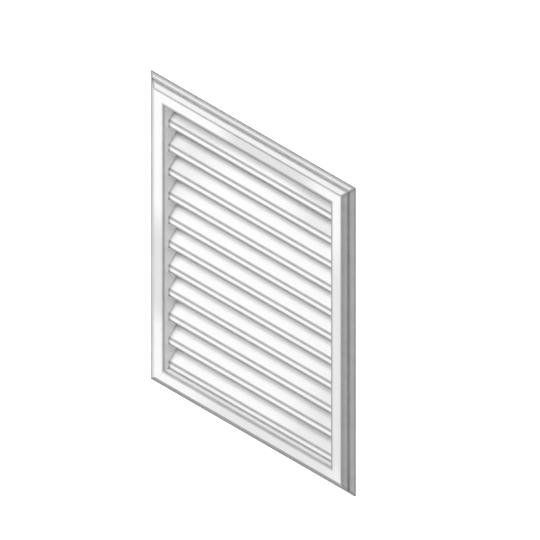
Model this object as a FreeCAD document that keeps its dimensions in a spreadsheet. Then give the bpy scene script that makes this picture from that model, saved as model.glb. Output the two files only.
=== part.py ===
import FreeCAD, Part
import math
import os

import Sketcher

# Gable vent with an 18 by 24 inch front band: one moulding that carries the trim, the wall sleeve and
# eleven fixed louvers, and a wire-cloth screen staked to its back.
# The vent faces -Y, +Z is up, and the origin is the middle of the plane where the trim rim meets the wall.

# Driving sizes in millimetres, with angles in degrees and counts as they are. Each name is the alias of a
# spreadsheet cell.
SIZES = {
    "face_width": 457.2,
    "face_height": 609.6,
    "face_band": 25.4,
    "face_radius": 0.8,
    "trim_reach": 19.6,
    "trim_fall": 13.5,
    "rim_edge": 2.5,
    "rim_seat": 6.0,
    "quirk_start": 8.9,
    "quirk_width": 3.0,
    "quirk_depth": 3.8,
    "shell_wall": 2.5,
    "louver_pitch": 50.8,
    "louver_angle": 45.0,
    "louver_recess": 12.7,
    "louver_wall": 2.5,
    "lip_height": 12.7,
    "nose_radius": 1.6,
    "draw_gap": 1.0,
    "sleeve_margin": 3.0,
    "lug_width": 7.0,
    "lug_reach": 7.5,
    "lug_depth": 4.5,
    "lug_inset": 45.0,
    "lug_count_across": 3,
    "lug_count_up": 4,
    "stake_diameter": 3.0,
    "stake_head": 6.0,
    "head_rise": 1.4,
    "head_angle": 30.0,
    "hem_lap": 1.5,
    "screen_gauge": 0.8,
    "wire_width": 2.0,
    "wire_gauge": 0.5,
    "wire_count_across": 8,
    "wire_count_up": 12,
    "stake_clearance": 0.15,
}

# Places and sizes that follow from the driving ones, as spreadsheet expressions.
FRONT = "-(Sizes.trim_fall + Sizes.rim_edge)"
OPENING_WIDTH = "(Sizes.face_width - 2 * Sizes.face_band)"
OPENING_HEIGHT = "(Sizes.face_height - 2 * Sizes.face_band)"
SIDE = f"({OPENING_WIDTH} / 2)"
TOP = f"({OPENING_HEIGHT} / 2)"
TRIM_SLOPE = "(Sizes.trim_fall / Sizes.trim_reach)"
QUIRK_END = "(Sizes.quirk_start + Sizes.quirk_width)"
QUIRK_FLOOR = f"({FRONT} + Sizes.quirk_start * {TRIM_SLOPE} + Sizes.quirk_depth)"
BAND_BACK = f"({FRONT} + Sizes.shell_wall)"
RIM_INSIDE = "(Sizes.face_band + Sizes.trim_reach - Sizes.rim_seat)"
TRIM_INSIDE = f"({RIM_INSIDE} + {BAND_BACK} / {TRIM_SLOPE})"
LIP_FRONT = f"({FRONT} + Sizes.louver_recess)"
BLADE_RISE = "(Sizes.louver_pitch - Sizes.lip_height - Sizes.draw_gap)"
BLADE_RUN = (
    "(Sizes.nose_radius * (1 - sin(Sizes.louver_angle))"
    f" + ({BLADE_RISE} - Sizes.nose_radius * cos(Sizes.louver_angle)) / tan(Sizes.louver_angle))"
)
BLADE_BACK = f"({LIP_FRONT} + {BLADE_RUN} + Sizes.louver_wall * sin(Sizes.louver_angle))"
SLEEVE_BACK = f"({BLADE_BACK} + Sizes.sleeve_margin)"
LOUVER_COUNT = f"floor({OPENING_HEIGHT} / Sizes.louver_pitch + 0.001)"
SLEEVE_GRIP = "(Sizes.shell_wall / 2)"
LUG_FRONT = f"({SLEEVE_BACK} - Sizes.lug_depth)"
STAKE_IN = "(Sizes.lug_reach / 2)"
SCREEN_BACK = f"({SLEEVE_BACK} + Sizes.screen_gauge)"
LUG_SPAN_X = f"({OPENING_WIDTH} - 2 * Sizes.lug_inset)"
LUG_SPAN_Z = f"({OPENING_HEIGHT} - 2 * Sizes.lug_inset)"

# The two pairs of lug rows: name, span, count, direction, distance from the middle, and whether they are level.
LUG_ROWS = [
    ("Upper", LUG_SPAN_X, "Sizes.lug_count_across", "X_Axis", TOP, True),
    ("Side", LUG_SPAN_Z, "Sizes.lug_count_up", "Z_Axis", SIDE, False),
]

# How far apart, in millimetres, two points may lie and still count as one plane.
SAME_PLANE = 1e-4


def origin_feature(body, role):
    """Return a body's own origin plane or axis by its role."""
    return next(item for item in body.Origin.OriginFeatures if item.Role == role)


def add_sketch(body, name, plane, depth=None):
    """Add a sketch on one of the body's origin planes, moved along its normal by an expression."""
    sketch = body.newObject("Sketcher::SketchObject", name)
    sketch.AttachmentSupport = [(origin_feature(body, plane), "")]
    sketch.MapMode = "FlatFace"
    if depth is not None:
        sketch.setExpression("AttachmentOffset.Base.z", depth)
    return sketch


def bind(sketch, constraint, expression):
    """Add a dimensional constraint whose value follows the spreadsheet."""
    index = sketch.addConstraint(constraint)
    sketch.setExpression(f"Constraints[{index}]", expression)


def pin(sketch, geometry, point, across, up):
    """Hold a sketch point at two expressions, measured from the sketch origin."""
    place = sketch.getPoint(geometry, point)
    bind(sketch, Sketcher.Constraint("DistanceX", -1, 1, geometry, point, place.x), across)
    bind(sketch, Sketcher.Constraint("DistanceY", -1, 1, geometry, point, place.y), up)


def add_polygon(sketch, corners):
    """Draw a closed ring of straight lines through corners given as pairs of expressions."""
    first = sketch.GeometryCount
    count = len(corners)
    # The lines start on a spread of points, so that no line has zero length before the sketch is solved.
    start = [FreeCAD.Vector(i + 1, (i + 1) ** 2, 0) for i in range(count)]
    for i in range(count):
        sketch.addGeometry(Part.LineSegment(start[i], start[(i + 1) % count]), False)
    for i in range(count):
        after = first + (i + 1) % count
        sketch.addConstraint(Sketcher.Constraint("Coincident", first + i, 2, after, 1))
    for i, corner in enumerate(corners):
        pin(sketch, first + i, 1, *corner)


def add_rectangle(sketch, left, right, low, high):
    """Draw a rectangle whose four sides are expressions."""
    add_polygon(sketch, [(left, low), (right, low), (right, high), (left, high)])


def add_circle(sketch, across, up, diameter):
    """Draw a circle whose centre and diameter are expressions."""
    drawn = Part.Circle(FreeCAD.Vector(1, 1, 0), FreeCAD.Vector(0, 0, 1), 1)
    circle = sketch.addGeometry(drawn, False)
    pin(sketch, circle, 3, across, up)
    bind(sketch, Sketcher.Constraint("Diameter", circle, 2 * drawn.Radius), diameter)


def add_pad(body, name, sketch, length, both_sides=False, backwards=False):
    """Pad a sketch by an expression."""
    pad = body.newObject("PartDesign::Pad", name)
    pad.Profile = sketch
    pad.setExpression("Length", length)
    pad.SideType = "Symmetric" if both_sides else "One side"
    pad.Reversed = backwards
    return pad


def add_row(body, name, originals, axis, length, count):
    """Repeat features along an origin axis, over a length and a count given as expressions."""
    row = body.newObject("PartDesign::LinearPattern", name)
    row.Originals = originals
    row.Direction = (origin_feature(body, axis), [""])
    row.setExpression("Length", length)
    row.setExpression("Occurrences", count)
    body.Tip = row
    return row


def add_frame(body):
    """Sweep the section of band, trim and sleeve round the opening, with mitred corners."""
    path = add_sketch(body, "FramePath", "XZ_Plane")
    add_polygon(
        path,
        [
            ("0", TOP),
            (SIDE, TOP),
            (SIDE, f"-{TOP}"),
            (f"-{SIDE}", f"-{TOP}"),
            (f"-{SIDE}", TOP),
        ],
    )

    def at(depth, out):
        return depth, f"{TOP} + {out}"

    def on_trim(out):
        return at(f"{FRONT} + {out} * {TRIM_SLOPE}", f"Sizes.face_band + {out}")

    section = add_sketch(body, "FrameSection", "YZ_Plane")
    add_polygon(
        section,
        [
            at(SLEEVE_BACK, "0"),
            at(FRONT, "0"),
            at(FRONT, "Sizes.face_band"),
            on_trim("Sizes.quirk_start"),
            at(QUIRK_FLOOR, "Sizes.face_band + Sizes.quirk_start"),
            at(QUIRK_FLOOR, f"Sizes.face_band + {QUIRK_END}"),
            on_trim(QUIRK_END),
            on_trim("Sizes.trim_reach"),
            at("0", "Sizes.face_band + Sizes.trim_reach"),
            at("0", RIM_INSIDE),
            at(BAND_BACK, TRIM_INSIDE),
            at(BAND_BACK, "Sizes.shell_wall"),
            at(SLEEVE_BACK, "Sizes.shell_wall"),
        ],
    )

    frame = body.newObject("PartDesign::AdditivePipe", "Frame")
    frame.Profile = section
    frame.Spine = (path, [f"Edge{i + 1}" for i in range(path.GeometryCount)])
    frame.Transition = "Right corner"


def round_front(body):
    """Round the arrises of the flat front band, inside and out."""
    body.Document.recompute()
    frame = body.Tip
    front = min(vertex.Y for vertex in frame.Shape.Vertexes)
    arrises = [
        f"Edge{i + 1}"
        for i, edge in enumerate(frame.Shape.Edges)
        if all(abs(vertex.Y - front) < SAME_PLANE for vertex in edge.Vertexes)
    ]
    rounding = body.newObject("PartDesign::Fillet", "FrontRounding")
    rounding.Base = (frame, arrises)
    rounding.setExpression("Radius", "Sizes.face_radius")


def add_louvers(body):
    """Pad one drip-lipped blade across the opening and repeat it up the opening."""
    sketch = add_sketch(body, "LouverSection", "YZ_Plane")
    lip = FreeCAD.Vector(SIZES["louver_recess"] - SIZES["trim_fall"] - SIZES["rim_edge"], 0, 0)
    lip.y = SIZES["face_band"] - SIZES["face_height"] / 2
    wall = SIZES["louver_wall"]
    radius = SIZES["nose_radius"]
    nose = lip + FreeCAD.Vector(0, SIZES["lip_height"], 0)
    slope = FreeCAD.Vector(1, 1, 0) * (SIZES["louver_pitch"] - SIZES["lip_height"])
    tip = nose + slope

    centre = nose + FreeCAD.Vector(radius, 0, 0)
    circle = Part.Circle(centre, FreeCAD.Vector(0, 0, 1), radius)
    arc = Part.ArcOfCircle(circle, math.pi / 2 + math.radians(SIZES["louver_angle"]), math.pi)
    sketch.addGeometry(Part.LineSegment(lip, nose), False)
    sketch.addGeometry(arc, False)
    sketch.addGeometry(Part.LineSegment(arc.StartPoint, tip), False)
    edge = tip + FreeCAD.Vector(wall, -wall, 0)
    heel = nose + FreeCAD.Vector(wall, -wall, 0)
    toe = lip + FreeCAD.Vector(wall, 0, 0)
    sketch.addGeometry(Part.LineSegment(tip, edge), False)
    sketch.addGeometry(Part.LineSegment(edge, heel), False)
    sketch.addGeometry(Part.LineSegment(heel, toe), False)
    sketch.addGeometry(Part.LineSegment(toe, lip), False)
    drip, bend, upper, back, under, inner, foot = range(7)

    sketch.addConstraint(
        [
            Sketcher.Constraint("Tangent", drip, 2, bend, 2),
            Sketcher.Constraint("Tangent", bend, 1, upper, 1),
            Sketcher.Constraint("Coincident", upper, 2, back, 1),
            Sketcher.Constraint("Coincident", back, 2, under, 1),
            Sketcher.Constraint("Coincident", under, 2, inner, 1),
            Sketcher.Constraint("Coincident", inner, 2, foot, 1),
            Sketcher.Constraint("Coincident", foot, 2, drip, 1),
            Sketcher.Constraint("Vertical", drip),
            Sketcher.Constraint("Vertical", inner),
            Sketcher.Constraint("Horizontal", foot),
            Sketcher.Constraint("Perpendicular", upper, back),
            Sketcher.Constraint("Parallel", upper, under),
        ]
    )
    pin(sketch, drip, 1, LIP_FRONT, f"-{TOP}")
    bind(sketch, Sketcher.Constraint("Distance", drip, SIZES["lip_height"]), "Sizes.lip_height")
    bind(sketch, Sketcher.Constraint("Radius", bend, radius), "Sizes.nose_radius")
    bind(sketch, Sketcher.Constraint("Angle", upper, math.radians(SIZES["louver_angle"])), "Sizes.louver_angle")
    bind(sketch, Sketcher.Constraint("Distance", back, wall), "Sizes.louver_wall")
    bind(sketch, Sketcher.Constraint("Distance", foot, wall), "Sizes.louver_wall")
    bind(
        sketch,
        Sketcher.Constraint("DistanceY", drip, 1, upper, 2, tip.y - lip.y),
        f"Sizes.lip_height + {BLADE_RISE}",
    )

    blade = add_pad(body, "Louver", sketch, f"{OPENING_WIDTH} + 2 * {SLEEVE_GRIP}", both_sides=True)
    add_row(
        body,
        "Louvers",
        [blade],
        "Z_Axis",
        f"Sizes.louver_pitch * ({LOUVER_COUNT} - 1)",
        LOUVER_COUNT,
    )


def add_screen_lugs(body):
    """Pad the lugs inside the sleeve's back edge, and the stakes on them that hold the screen."""
    half_width = "Sizes.lug_width / 2"
    stake_length = "Sizes.screen_gauge + Sizes.head_rise / 2 + Sizes.shell_wall"
    for name, span, count, axis, edge, level in LUG_ROWS:
        lugs = add_sketch(body, f"{name}LugSketch", "XZ_Plane", f"-{LUG_FRONT}")
        stakes = add_sketch(body, f"{name}StakeSketch", "XZ_Plane", f"Sizes.shell_wall - {SLEEVE_BACK}")
        heads = add_sketch(body, f"{name}HeadSketch", "XZ_Plane", f"-{SCREEN_BACK}")
        along = (f"-{span} / 2 - {half_width}", f"-{span} / 2 + {half_width}")
        for low, high, stake in (
            (f"{edge} - Sizes.lug_reach", f"{edge} + {SLEEVE_GRIP}", f"{edge} - {STAKE_IN}"),
            (f"-{edge} - {SLEEVE_GRIP}", f"-{edge} + Sizes.lug_reach", f"-{edge} + {STAKE_IN}"),
        ):
            if level:
                add_rectangle(lugs, *along, low, high)
                place = (f"-{span} / 2", stake)
            else:
                add_rectangle(lugs, low, high, *along)
                place = (stake, f"-{span} / 2")
            add_circle(stakes, *place, "Sizes.stake_diameter")
            add_circle(heads, *place, "Sizes.stake_head")
        lug = add_pad(body, f"{name}Lug", lugs, "Sizes.lug_depth", backwards=True)
        stake = add_pad(body, f"{name}Stake", stakes, stake_length, backwards=True)
        head = add_pad(body, f"{name}Head", heads, "Sizes.head_rise", backwards=True)
        head.setExpression("TaperAngle", "-Sizes.head_angle")
        add_row(body, f"{name}Lugs", [lug, stake, head], axis, span, count)


def add_screen(body):
    """Pad the screen's hem on the sleeve's back edge, cross it with wires and pierce it for the stakes."""
    hem = add_sketch(body, "HemSketch", "XZ_Plane", f"-{SLEEVE_BACK}")
    for edge_x, edge_z in (
        (f"({SIDE} + Sizes.hem_lap)", f"({TOP} + Sizes.hem_lap)"),
        (f"({SIDE} - Sizes.lug_reach)", f"({TOP} - Sizes.lug_reach)"),
    ):
        add_rectangle(hem, f"-{edge_x}", edge_x, f"-{edge_z}", edge_z)
    add_pad(body, "Hem", hem, "Sizes.screen_gauge", backwards=True)

    half = "Sizes.wire_width / 2"
    step_x = f"({OPENING_WIDTH} / (Sizes.wire_count_across + 1))"
    step_z = f"({OPENING_HEIGHT} / (Sizes.wire_count_up + 1))"
    reach_x = f"({SIDE} - {STAKE_IN})"
    reach_z = f"({TOP} - {STAKE_IN})"
    first_x = f"-{SIDE} + {step_x}"
    first_z = f"-{TOP} + {step_z}"

    warp = add_sketch(body, "WarpSketch", "XZ_Plane", f"-{SLEEVE_BACK}")
    add_rectangle(warp, f"{first_x} - {half}", f"{first_x} + {half}", f"-{reach_z}", reach_z)
    warp_wire = add_pad(body, "WarpWire", warp, "Sizes.wire_gauge", backwards=True)
    warp_span = f"{step_x} * (Sizes.wire_count_across - 1)"
    add_row(body, "WarpWires", [warp_wire], "X_Axis", warp_span, "Sizes.wire_count_across")

    weft = add_sketch(body, "WeftSketch", "XZ_Plane", f"-{SCREEN_BACK}")
    add_rectangle(weft, f"-{reach_x}", reach_x, f"{first_z} - {half}", f"{first_z} + {half}")
    weft_wire = add_pad(body, "WeftWire", weft, "Sizes.wire_gauge")
    weft_span = f"{step_z} * (Sizes.wire_count_up - 1)"
    add_row(body, "WeftWires", [weft_wire], "Z_Axis", weft_span, "Sizes.wire_count_up")

    bore = "Sizes.stake_diameter + 2 * Sizes.stake_clearance"
    for name, span, count, axis, edge, level in LUG_ROWS:
        holes = add_sketch(body, f"{name}HoleSketch", "XZ_Plane", f"-{SLEEVE_BACK}")
        for stake in (f"{edge} - {STAKE_IN}", f"-{edge} + {STAKE_IN}"):
            place = (f"-{span} / 2", stake) if level else (stake, f"-{span} / 2")
            add_circle(holes, *place, bore)
        hole = body.newObject("PartDesign::Pocket", f"{name}Hole")
        hole.Profile = holes
        hole.setExpression("Length", "Sizes.screen_gauge")
        add_row(body, f"{name}Holes", [hole], axis, span, count)


def checked(document):
    """Recompute, and stop if any object failed or holds a bad shape."""
    document.recompute()
    for item in document.Objects:
        if "Invalid" in item.State or "Error" in item.State:
            raise RuntimeError(f"{item.Name} did not compute: {item.State}")
        shape = getattr(item, "Shape", None)
        solid = item.isDerivedFrom("PartDesign::Feature") or item.TypeId == "PartDesign::Body"
        if solid and (shape is None or shape.isNull() or not shape.isValid()):
            raise RuntimeError(f"{item.Name} has no valid shape")


os.makedirs("parts", exist_ok=True)
document = FreeCAD.newDocument("GableVent")
sizes = document.addObject("Spreadsheet::Sheet", "Sizes")
for row, (alias, value) in enumerate(SIZES.items(), start=1):
    sizes.set(f"A{row}", alias)
    sizes.set(f"B{row}", str(value))
    sizes.setAlias(f"B{row}", alias)
document.recompute()

vent_body = document.addObject("PartDesign::Body", "vent_body")
add_frame(vent_body)
round_front(vent_body)
add_louvers(vent_body)
add_screen_lugs(vent_body)

insect_screen = document.addObject("PartDesign::Body", "insect_screen")
add_screen(insect_screen)

checked(document)
for node in (vent_body, insect_screen):
    if len(node.Shape.Solids) != 1:
        raise RuntimeError(f"{node.Name} is not one solid")
    node.Shape.exportStep(f"parts/{node.Name}.step")
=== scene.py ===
"""Looks of the gable vent: a white moulding with fixed louvers, and the wire cloth staked to its back.

Every piece is a surface worked out with numpy, in metres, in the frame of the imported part: the vent faces
-Y, +Z is up, and the wall is the plane Y = 0.
"""

from __future__ import annotations

import logging
import math
from dataclasses import dataclass
from enum import Enum
from typing import Generic, NamedTuple, Sequence, TypeVar

import bpy
import numpy as np
from bpy.types import Material, NodeSocket, NodeTree, Object
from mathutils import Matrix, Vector

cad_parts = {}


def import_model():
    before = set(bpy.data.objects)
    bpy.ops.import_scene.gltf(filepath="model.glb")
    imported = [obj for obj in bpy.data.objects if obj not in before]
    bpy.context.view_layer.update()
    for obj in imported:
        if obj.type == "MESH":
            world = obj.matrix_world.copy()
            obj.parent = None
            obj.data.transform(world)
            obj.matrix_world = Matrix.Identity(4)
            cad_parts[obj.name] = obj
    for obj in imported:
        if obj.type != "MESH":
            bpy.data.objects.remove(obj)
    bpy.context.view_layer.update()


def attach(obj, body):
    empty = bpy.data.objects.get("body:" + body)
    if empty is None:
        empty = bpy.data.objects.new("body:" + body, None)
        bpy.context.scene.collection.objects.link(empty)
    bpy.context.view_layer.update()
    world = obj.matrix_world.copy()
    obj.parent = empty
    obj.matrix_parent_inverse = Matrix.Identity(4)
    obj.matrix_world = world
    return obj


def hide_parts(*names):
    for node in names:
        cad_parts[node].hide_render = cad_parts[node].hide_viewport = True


LOG = logging.getLogger("gable_vent")
# Vertex attributes: soil and painted shade on edges and in creases; painted reflection and shade in grey
SOIL_AND_SHADE = "soil_and_shade"
PAINTED_REFLECTION_AND_SHADE = "painted_reflection_and_shade"
SHARP_ANGLE = math.radians(40)
SHORT_REACH = 0.0005
MICROMETRE = 1e-6
WHITE = (1.0, 1.0, 1.0, 1.0)

# The share of its reach where the core of a line of soil and painted shade ends, and the share left there
LINE_CORE = 0.4
LINE_HOLD = 0.75

# The values that most of a noise texture lies between
NOISE_SPAN = (0.3, 0.7)

# How many radians a wave texture turns through in one unit of place at a scale of 1
WAVE_RATE = 20.0

Colour = tuple[float, float, float]
Pair = tuple[float, float]
Value = TypeVar("Value")


class Slot(Enum):
    """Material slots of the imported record."""

    PLASTIC = "white_plastic"
    WIRE = "screen_wire"


class Node(Enum):
    """CAD nodes that the pieces here stand for."""

    BODY = "vent_body"
    SCREEN = "insect_screen"


class Lay(Enum):
    """Which way a set of wires runs."""

    WARP = "warp"
    WEFT = "weft"


class ByMember(NamedTuple, Generic[Value]):
    """One value for each member of the moulding: its head, its sill and its two stiles."""

    top: Value
    bottom: Value
    left: Value
    right: Value


# Sizes


@dataclass(frozen=True)
class VentSizes:
    """Sizes that several pieces share, in metres, the same as in the part's source."""

    face_width: float = 0.4572
    face_height: float = 0.6096
    face_band: float = 0.0254
    trim_reach: float = 0.0196
    trim_fall: float = 0.0135
    rim_edge: float = 0.0025
    shell_wall: float = 0.0025
    louver_pitch: float = 0.0508
    louver_recess: float = 0.0127
    louver_wall: float = 0.0025
    lip_height: float = 0.0127
    nose_radius: float = 0.0016
    draw_gap: float = 0.0010
    sleeve_margin: float = 0.0030
    lug_reach: float = 0.0075
    hem_lap: float = 0.0015
    screen_gauge: float = 0.0008

    @property
    def front(self) -> float:
        """Y of the flat front band."""
        return -(self.trim_fall + self.rim_edge)

    @property
    def half_width(self) -> float:
        """Half the width of the louvered opening."""
        return self.face_width / 2 - self.face_band

    @property
    def half_height(self) -> float:
        """Half the height of the louvered opening."""
        return self.face_height / 2 - self.face_band

    @property
    def lip_front(self) -> float:
        """Y of the louvers' lips."""
        return self.front + self.louver_recess

    @property
    def nose_height(self) -> float:
        """Height of the corner that the louver's nose rounds off, above the foot of its lip."""
        return self.lip_height + self.nose_radius * math.tan(math.pi / 8)

    @property
    def blade_rise(self) -> float:
        """Height of a louver's upper back edge above the foot of its lip."""
        return self.louver_pitch - self.draw_gap

    @property
    def blade_tip(self) -> float:
        """Y of a louver's upper back edge, at the end of its 45 degree slope."""
        return self.lip_front + self.blade_rise - self.nose_height

    @property
    def sleeve_back(self) -> float:
        """Y of the sleeve's back edge, where the screen starts."""
        return self.blade_tip + self.louver_wall * math.sin(math.pi / 4) + self.sleeve_margin

    @property
    def screen_back(self) -> float:
        """Y of the screen's back."""
        return self.sleeve_back + self.screen_gauge


# Surfaces


@dataclass(frozen=True)
class Corner:
    """One corner of a section: its place, its rounding, and the soil and painted shade along it and beside
    it.

    The soil and painted shade lie on the rounding, and change to before and after at the ends of its
    reach along the flats.
    """

    across: float
    out: float
    radius: float
    soil_and_shade: float = 0.0
    before: float = 0.0
    after: float = 0.0
    reach: float = SHORT_REACH
    reach_after: float | None = None
    hold: float = LINE_HOLD


@dataclass(frozen=True)
class Section:
    """A closed outline as arrays: points, outward normals, and soil and painted shade at each point."""

    points: np.ndarray
    normals: np.ndarray
    soil_and_shade: np.ndarray


@dataclass(frozen=True)
class Skin:
    """A surface as arrays: vertices, lists of faces by their corner count, and vertex attributes."""

    vertices: np.ndarray
    faces: list[np.ndarray]
    attributes: dict[str, np.ndarray]


def turned_left(vectors: np.ndarray) -> np.ndarray:
    """Return plane vectors turned by a quarter to the left."""
    return np.stack([-vectors[..., 1], vectors[..., 0]], axis=-1)


def smooth_step(low: float, high: float, values: np.ndarray | float) -> np.ndarray:
    """Return a soft ramp from 0 at low to 1 at high, 3t^2 - 2t^3; low may lie above high."""
    share = np.clip((values - low) / (high - low), 0.0, 1.0)
    return share * share * (3.0 - 2.0 * share)


def stretch(span: Sequence[float], values: np.ndarray) -> np.ndarray:
    """Return a soft ramp up over the first two places of a span times one down over the last two."""
    start, full, fade, end = span
    return smooth_step(start, full, values) * smooth_step(end, fade, values)


def rounded_section(corners: Sequence[Corner], steps: int = 5) -> Section:
    """Round the corners of a closed polygon.

    The rounding starts radius * tan(turn / 2) before a corner. Along it the direction turns evenly, and a
    point is the start plus the radius times the difference between the first and the present side normal.
    Two more points stand on the flat on each side, within the corner's reach, so that the flats shade flat
    and the soil and painted shade fade out along them.

    Args:
        corners: the corners in order, either way round.
        steps: how many straight steps make one rounding.

    Returns:
        The outline with its outward normals, and its soil and painted shade.
    """
    place = np.array([(c.across, c.out) for c in corners])
    radius, soil_and_shade, before, after, reach, hold = (
        np.array([getattr(c, name) for c in corners])[:, None]
        for name in ("radius", "soil_and_shade", "before", "after", "reach", "hold")
    )
    beyond = [c.reach if c.reach_after is None else c.reach_after for c in corners]
    reach_after = np.array(beyond)[:, None]
    last = np.roll(place, 1, axis=0)
    arrive = place - last
    arrive /= np.linalg.norm(arrive, axis=1, keepdims=True)
    leave = np.roll(arrive, -1, axis=0)
    cross = arrive[:, 0] * leave[:, 1] - arrive[:, 1] * leave[:, 0]
    turn = np.arctan2(cross, (arrive * leave).sum(axis=1))[:, None]
    start = place - arrive * radius * np.tan(np.abs(turn) / 2)
    angle = turn * np.linspace(0.0, 1.0, steps + 1)
    heading = np.stack(
        [
            arrive[:, :1] * np.cos(angle) - arrive[:, 1:] * np.sin(angle),
            arrive[:, :1] * np.sin(angle) + arrive[:, 1:] * np.cos(angle),
        ],
        axis=-1,
    )
    swing = turned_left(arrive)[:, None, :] - turned_left(heading)
    arc = start[:, None, :] + (radius * np.sign(turn))[:, :, None] * swing
    points = np.concatenate(
        [
            arc[:, :1] - (arrive * reach)[:, None, :],
            arc[:, :1] - (arrive * reach * LINE_CORE)[:, None, :],
            arc,
            arc[:, -1:] + (leave * reach_after * LINE_CORE)[:, None, :],
            arc[:, -1:] + (leave * reach_after)[:, None, :],
        ],
        axis=1,
    )
    heading = np.pad(heading, ((0, 0), (2, 2), (0, 0)), mode="edge")
    core, rest = hold * soil_and_shade, 1 - hold
    on_arc = np.repeat(soil_and_shade, steps + 1, axis=1)
    weight = np.concatenate([before, core + rest * before, on_arc, core + rest * after, after], axis=1)
    way_round = np.sign((last[:, 0] * place[:, 1] - place[:, 0] * last[:, 1]).sum())
    normals = -way_round * turned_left(heading)
    return Section(points.reshape(-1, 2), normals.reshape(-1, 2), weight.reshape(-1))


def with_rows(outline: Section, depths: np.ndarray) -> Section:
    """Add points on the longest side in the first half of an outline, to carry soil and painted shade
    between its corners.

    Args:
        outline: the outline.
        depths: Y of the points; those that lie off the side are left out.

    Returns:
        The outline with the points, which have the side's normal, and neither soil nor painted shade.
    """
    step = np.linalg.norm(np.diff(outline.points, axis=0), axis=1)
    before = int(np.argmax(step[: len(step) // 2]))
    first, last = outline.points[before], outline.points[before + 1]
    share = np.sort((depths - first[0]) / (last[0] - first[0]))[:, None]
    share = share[(share[:, 0] > 0) & (share[:, 0] < 1)]
    normals = np.repeat(outline.normals[before : before + 1], len(share), axis=0)
    return Section(
        np.insert(outline.points, before + 1, first * (1 - share) + last * share, axis=0),
        np.insert(outline.normals, before + 1, normals, axis=0),
        np.insert(outline.soil_and_shade, before + 1, np.zeros(len(share))),
    )


def ring_faces(rings: int, points: int, joins: bool) -> np.ndarray:
    """Return the quads between closed rings of vertices that are stored ring by ring.

    Args:
        rings: how many rings there are.
        points: how many vertices each ring has.
        joins: whether the last ring joins the first.

    Returns:
        One line of four vertex numbers for each quad.
    """
    ring = np.arange(rings if joins else rings - 1)[:, None]
    point = np.arange(points)[None, :]
    ring_after, point_after = (ring + 1) % rings, (point + 1) % points
    quads = [ring * points + point, ring * points + point_after]
    quads += [ring_after * points + point_after, ring_after * points + point]
    return np.stack(quads, axis=-1).reshape(-1, 4)


def turned_out(vertices: np.ndarray, faces: list[np.ndarray]) -> list[np.ndarray]:
    """Return the faces facing out of a closed shell.

    The volume is a sixth of the sum, over the triangles of each face's fan, of the triple product of their
    corners. Where it is negative, each face is turned round.

    Args:
        vertices: the shell's vertices.
        faces: its faces, all of them turned the same way.

    Returns:
        The same faces, turned round if they faced in.
    """
    volume = 0.0
    for group in faces:
        first = vertices[group[:, :1]]
        second, third = vertices[group[:, 1:-1]], vertices[group[:, 2:]]
        volume += float((first * np.cross(second, third)).sum())
    return faces if volume > 0 else [group[:, ::-1] for group in faces]


def closed_tube(axes: Sequence[np.ndarray], soil_and_shade: np.ndarray) -> Skin:
    """Skin a row of rings that have as many points each, with a face at each end.

    Args:
        axes: X, Y and Z by ring and by point of the ring, or arrays that spread to that shape.
        soil_and_shade: the soil and painted shade, in the same way.

    Returns:
        The closed surface with its soil and painted shade.
    """
    places = np.stack(np.broadcast_arrays(*axes), axis=-1)
    rings, points = places.shape[:2]
    vertices = places.reshape(-1, 3)
    ring = np.arange(points)
    ends = np.stack([ring[::-1], ring + (rings - 1) * points])
    faces = turned_out(vertices, [ring_faces(rings, points, joins=False), ends])
    return Skin(vertices, faces, {SOIL_AND_SHADE: np.broadcast_to(soil_and_shade, (rings, points)).reshape(-1)})


def mitred_ring(section: Section, vent: VentSizes, stations: np.ndarray) -> Skin:
    """Carry a section round the opening with mitred corners.

    A section point at a distance out of the opening runs along the opening's rectangle grown by that
    distance, and a station is a share of the way from one grown corner to the next.

    Args:
        section: points as (Y, distance out of the opening).
        vent: the vent's sizes.
        stations: shares of each side, from 0 up to less than 1.

    Returns:
        A closed ring with its soil and painted shade.
    """
    signs = np.array([(-1, 1), (1, 1), (1, -1), (-1, -1)])
    grown = np.array([vent.half_width, vent.half_height]) + section.points[:, 1:]
    corners = signs[None] * grown[:, None, :]
    share = stations[None, None, :, None]
    across = corners[:, :, None] * (1 - share) + np.roll(corners, -1, axis=1)[:, :, None] * share
    across = across.reshape(len(section.points), -1, 2)
    depth = np.broadcast_to(section.points[:, :1], across.shape[:2])
    vertices = np.stack([across[..., 0], depth, across[..., 1]], axis=-1).reshape(-1, 3)
    faces = turned_out(vertices, [ring_faces(*across.shape[:2], joins=True)])
    return Skin(vertices, faces, {SOIL_AND_SHADE: np.repeat(section.soil_and_shade, across.shape[1])})


def repeated(skin: Skin, moves: np.ndarray) -> Skin:
    """Repeat a skin at several places.

    Args:
        skin: the surface to repeat.
        moves: one displacement for each copy.

    Returns:
        All the copies as one surface.
    """
    count, size = len(moves), len(skin.vertices)
    vertices = (skin.vertices[None] + moves[:, None, :]).reshape(-1, 3)
    shift = size * np.arange(count)[:, None, None]
    faces = [(group[None] + shift).reshape(-1, group.shape[1]) for group in skin.faces]
    return Skin(vertices, faces, {name: np.tile(values, count) for name, values in skin.attributes.items()})


def joined(skins: Sequence[Skin]) -> Skin:
    """Put several skins into one.

    Args:
        skins: the surfaces, all with the same attributes.

    Returns:
        All of them as one surface.
    """
    starts = np.cumsum([0] + [len(skin.vertices) for skin in skins])
    faces = [group + start for skin, start in zip(skins, starts) for group in skin.faces]
    names = skins[0].attributes
    attributes = {name: np.concatenate([skin.attributes[name] for skin in skins]) for name in names}
    return Skin(np.concatenate([skin.vertices for skin in skins]), faces, attributes)


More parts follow.
